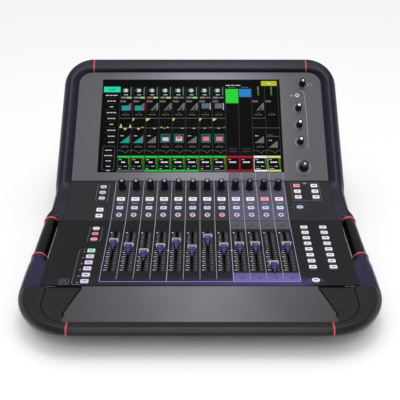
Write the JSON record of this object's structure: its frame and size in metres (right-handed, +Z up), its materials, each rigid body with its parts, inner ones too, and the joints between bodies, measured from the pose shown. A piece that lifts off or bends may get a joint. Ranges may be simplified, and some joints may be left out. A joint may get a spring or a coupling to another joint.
{
  "type": "digital mixing console",
  "caption": "Compact sloped digital mixing console with motor-style faders, rotary encoders, key rows, side handles and a tilted touch screen.",
  "frame": {"origin": "middle of the console's outline, on the surface that its feet stand on", "axes": "+X to the operator's right, +Y from the operator to the rear, +Z up"},
  "size_m": [0.557, 0.5819, 0.2669],
  "materials": {
    "textured_paint": "fine textured dark grey powder coat",
    "screen_panel_paint": "fine textured mid-grey powder coat",
    "satin_rail": "satin black paint with a blue cast",
    "armrest_pad": "soft-touch grey plastic with a fine grain",
    "gloss_black": "polished black plastic",
    "black_steel": "matt black powder-coated steel",
    "screen_glass": "gloss black screen cover",
    "knob_plastic": "satin dark grey plastic",
    "fader_cap_plastic": "violet-lit glossy plastic with a silver rim",
    "white_key_plastic": "translucent backlit key plastic, white to pink",
    "blue_key_plastic": "translucent backlit key plastic, pale blue",
    "red_trim": "red trim ring",
    "foot_rubber": "matt black rubber",
    "plated_steel": "zinc-plated steel",
    "circuit_board": "green circuit board"
  },
  "bodies": {
    "desk": {"base_tray": "black_steel", "fader_panel": "textured_paint", "strip_panel": "textured_paint", "screen_panel": "screen_panel_paint", "armrest": "armrest_pad", "top_rail": "satin_rail", "front_rail": "satin_rail", "upper_rail_left": "satin_rail", "upper_rail_right": "satin_rail", "front_corner_left": "satin_rail", "front_corner_right": "satin_rail", "handle_left": "gloss_black", "handle_right": "gloss_black", "touch_screen": "screen_glass", "fader_bank": "black_steel", "encoder_board": "circuit_board", "rear_panel": "black_steel", "io_board": "circuit_board", "mains_inlet": "gloss_black", "power_supply": "plated_steel", "front_foot": "foot_rubber", "rear_foot": "foot_rubber"},
    "mute_keys": {"mute_keys": "white_key_plastic"},
    "mix_keys": {"mix_keys": "blue_key_plastic"},
    "listen_keys": {"listen_keys": "white_key_plastic"},
    "view_keys": {"view_keys": "white_key_plastic"},
    "assign_keys": {"assign_keys": "white_key_plastic"},
    "page_keys": {"page_keys": "white_key_plastic"},
    "soft_keys": {"soft_keys": "white_key_plastic"},
    "round_key": {"round_key": "white_key_plastic"},
    "fader_cap_01": {"fader_cap_01": "fader_cap_plastic"},
    "fader_cap_02": {"fader_cap_02": "fader_cap_plastic"},
    "fader_cap_03": {"fader_cap_03": "fader_cap_plastic"},
    "fader_cap_04": {"fader_cap_04": "fader_cap_plastic"},
    "fader_cap_05": {"fader_cap_05": "fader_cap_plastic"},
    "fader_cap_06": {"fader_cap_06": "fader_cap_plastic"},
    "fader_cap_07": {"fader_cap_07": "fader_cap_plastic"},
    "fader_cap_08": {"fader_cap_08": "fader_cap_plastic"},
    "fader_cap_09": {"fader_cap_09": "fader_cap_plastic"},
    "fader_cap_10": {"fader_cap_10": "fader_cap_plastic"},
    "fader_cap_11": {"fader_cap_11": "fader_cap_plastic"},
    "fader_cap_12": {"fader_cap_12": "fader_cap_plastic"},
    "encoder_knob_01": {"encoder_knob_01": "knob_plastic"},
    "encoder_knob_02": {"encoder_knob_02": "knob_plastic"},
    "encoder_knob_03": {"encoder_knob_03": "knob_plastic"},
    "encoder_knob_04": {"encoder_knob_04": "knob_plastic"},
    "encoder_knob_05": {"encoder_knob_05": "knob_plastic"},
    "encoder_knob_06": {"encoder_knob_06": "knob_plastic"},
    "encoder_knob_07": {"encoder_knob_07": "knob_plastic"},
    "encoder_knob_08": {"encoder_knob_08": "knob_plastic"},
    "encoder_knob_09": {"encoder_knob_09": "knob_plastic"},
    "encoder_knob_10": {"encoder_knob_10": "knob_plastic"},
    "encoder_knob_11": {"encoder_knob_11": "knob_plastic"},
    "encoder_knob_12": {"encoder_knob_12": "knob_plastic"},
    "soft_knob_1": {"soft_knob_1": "knob_plastic"},
    "soft_knob_2": {"soft_knob_2": "knob_plastic"},
    "soft_knob_3": {"soft_knob_3": "knob_plastic"},
    "main_knob": {"main_knob": "knob_plastic"},
    "headphone_knob": {"headphone_knob": "knob_plastic"},
    "power_switch": {"power_switch": "gloss_black"}
  },
  "joints": [
    {"name": "mute_keys_press", "type": "slide", "parent": "desk", "child": "mute_keys", "axis": [0, 0.2436, -0.9699], "range_m": [0, 0.001], "stiffness_N_per_m": 500, "springref_m": -0.002},
    {"name": "mix_keys_press", "type": "slide", "parent": "desk", "child": "mix_keys", "axis": [0, 0.2436, -0.9699], "range_m": [0, 0.001], "stiffness_N_per_m": 500, "springref_m": -0.002},
    {"name": "listen_keys_press", "type": "slide", "parent": "desk", "child": "listen_keys", "axis": [0, 0.2436, -0.9699], "range_m": [0, 0.001], "stiffness_N_per_m": 500, "springref_m": -0.002},
    {"name": "view_keys_press", "type": "slide", "parent": "desk", "child": "view_keys", "axis": [0, 0.2436, -0.9699], "range_m": [0, 0.001], "stiffness_N_per_m": 500, "springref_m": -0.002},
    {"name": "assign_keys_press", "type": "slide", "parent": "desk", "child": "assign_keys", "axis": [0, 0.2436, -0.9699], "range_m": [0, 0.001], "stiffness_N_per_m": 500, "springref_m": -0.002},
    {"name": "page_keys_press", "type": "slide", "parent": "desk", "child": "page_keys", "axis": [0, 0.0785, -0.9969], "range_m": [0, 0.001], "stiffness_N_per_m": 500, "springref_m": -0.002},
    {"name": "soft_keys_press", "type": "slide", "parent": "desk", "child": "soft_keys", "axis": [0, 0.0785, -0.9969], "range_m": [0, 0.001], "stiffness_N_per_m": 500, "springref_m": -0.002},
    {"name": "round_key_press", "type": "slide", "parent": "desk", "child": "round_key", "axis": [0, 0.6334, -0.7738], "range_m": [0, 0.001], "stiffness_N_per_m": 500, "springref_m": -0.002},
    {"name": "fader_slide_01", "type": "slide", "parent": "desk", "child": "fader_cap_01", "axis": [0, 0.9969, 0.0785], "range_m": [-0.06, 0.04]},
    {"name": "fader_slide_02", "type": "slide", "parent": "desk", "child": "fader_cap_02", "axis": [0, 0.9969, 0.0785], "range_m": [-0.048, 0.052]},
    {"name": "fader_slide_03", "type": "slide", "parent": "desk", "child": "fader_cap_03", "axis": [0, 0.9969, 0.0785], "range_m": [-0.032, 0.068]},
    {"name": "fader_slide_04", "type": "slide", "parent": "desk", "child": "fader_cap_04", "axis": [0, 0.9969, 0.0785], "range_m": [-0.046, 0.054]},
    {"name": "fader_slide_05", "type": "slide", "parent": "desk", "child": "fader_cap_05", "axis": [0, 0.9969, 0.0785], "range_m": [-0.061, 0.039]},
    {"name": "fader_slide_06", "type": "slide", "parent": "desk", "child": "fader_cap_06", "axis": [0, 0.9969, 0.0785], "range_m": [-0.042, 0.058]},
    {"name": "fader_slide_07", "type": "slide", "parent": "desk", "child": "fader_cap_07", "axis": [0, 0.9969, 0.0785], "range_m": [-0.072, 0.028]},
    {"name": "fader_slide_08", "type": "slide", "parent": "desk", "child": "fader_cap_08", "axis": [0, 0.9969, 0.0785], "range_m": [-0.048, 0.052]},
    {"name": "fader_slide_09", "type": "slide", "parent": "desk", "child": "fader_cap_09", "axis": [0, 0.9969, 0.0785], "range_m": [-0.05, 0.05]},
    {"name": "fader_slide_10", "type": "slide", "parent": "desk", "child": "fader_cap_10", "axis": [0, 0.9969, 0.0785], "range_m": [-0.051, 0.049]},
    {"name": "fader_slide_11", "type": "slide", "parent": "desk", "child": "fader_cap_11", "axis": [0, 0.9969, 0.0785], "range_m": [-0.001, 0.099]},
    {"name": "fader_slide_12", "type": "slide", "parent": "desk", "child": "fader_cap_12", "axis": [0, 0.9969, 0.0785], "range_m": [-0.051, 0.049]},
    {"name": "encoder_turn_01", "type": "hinge", "parent": "desk", "child": "encoder_knob_01", "pos_m": [-0.143, 0.05982, 0.09025], "axis": [0, -0.2436, 0.9699], "continuous": true},
    {"name": "encoder_turn_02", "type": "hinge", "parent": "desk", "child": "encoder_knob_02", "pos_m": [-0.117, 0.05982, 0.09025], "axis": [0, -0.2436, 0.9699], "continuous": true},
    {"name": "encoder_turn_03", "type": "hinge", "parent": "desk", "child": "encoder_knob_03", "pos_m": [-0.091, 0.05982, 0.09025], "axis": [0, -0.2436, 0.9699], "continuous": true},
    {"name": "encoder_turn_04", "type": "hinge", "parent": "desk", "child": "encoder_knob_04", "pos_m": [-0.065, 0.05982, 0.09025], "axis": [0, -0.2436, 0.9699], "continuous": true},
    {"name": "encoder_turn_05", "type": "hinge", "parent": "desk", "child": "encoder_knob_05", "pos_m": [-0.039, 0.05982, 0.09025], "axis": [0, -0.2436, 0.9699], "continuous": true},
    {"name": "encoder_turn_06", "type": "hinge", "parent": "desk", "child": "encoder_knob_06", "pos_m": [-0.013, 0.05982, 0.09025], "axis": [0, -0.2436, 0.9699], "continuous": true},
    {"name": "encoder_turn_07", "type": "hinge", "parent": "desk", "child": "encoder_knob_07", "pos_m": [0.013, 0.05982, 0.09025], "axis": [0, -0.2436, 0.9699], "continuous": true},
    {"name": "encoder_turn_08", "type": "hinge", "parent": "desk", "child": "encoder_knob_08", "pos_m": [0.039, 0.05982, 0.09025], "axis": [0, -0.2436, 0.9699], "continuous": true},
    {"name": "encoder_turn_09", "type": "hinge", "parent": "desk", "child": "encoder_knob_09", "pos_m": [0.065, 0.05982, 0.09025], "axis": [0, -0.2436, 0.9699], "continuous": true},
    {"name": "encoder_turn_10", "type": "hinge", "parent": "desk", "child": "encoder_knob_10", "pos_m": [0.091, 0.05982, 0.09025], "axis": [0, -0.2436, 0.9699], "continuous": true},
    {"name": "encoder_turn_11", "type": "hinge", "parent": "desk", "child": "encoder_knob_11", "pos_m": [0.117, 0.05982, 0.09025], "axis": [0, -0.2436, 0.9699], "continuous": true},
    {"name": "encoder_turn_12", "type": "hinge", "parent": "desk", "child": "encoder_knob_12", "pos_m": [0.143, 0.05982, 0.09025], "axis": [0, -0.2436, 0.9699], "continuous": true},
    {"name": "soft_knob_turn_1", "type": "hinge", "parent": "desk", "child": "soft_knob_1", "pos_m": [0.1925, 0.1999, 0.19335], "axis": [0, -0.6334, 0.7738], "continuous": true},
    {"name": "soft_knob_turn_2", "type": "hinge", "parent": "desk", "child": "soft_knob_2", "pos_m": [0.1925, 0.1715, 0.17011], "axis": [0, -0.6334, 0.7738], "continuous": true},
    {"name": "soft_knob_turn_3", "type": "hinge", "parent": "desk", "child": "soft_knob_3", "pos_m": [0.1925, 0.14317, 0.14693], "axis": [0, -0.6334, 0.7738], "continuous": true},
    {"name": "main_knob_turn", "type": "hinge", "parent": "desk", "child": "main_knob", "pos_m": [0.1955, 0.10169, 0.11298], "axis": [0, -0.6334, 0.7738], "continuous": true},
    {"name": "headphone_turn", "type": "hinge", "parent": "desk", "child": "headphone_knob", "pos_m": [0.2032, 0.24269, 0.22838], "axis": [0, -0.6334, 0.7738], "range_deg": [-140, 140]},
    {"name": "power_rock", "type": "hinge", "parent": "desk", "child": "power_switch", "pos_m": [0.118, 0.28758, 0.07], "axis": [1, 0, 0], "range_deg": [0, 10]}
  ]
}
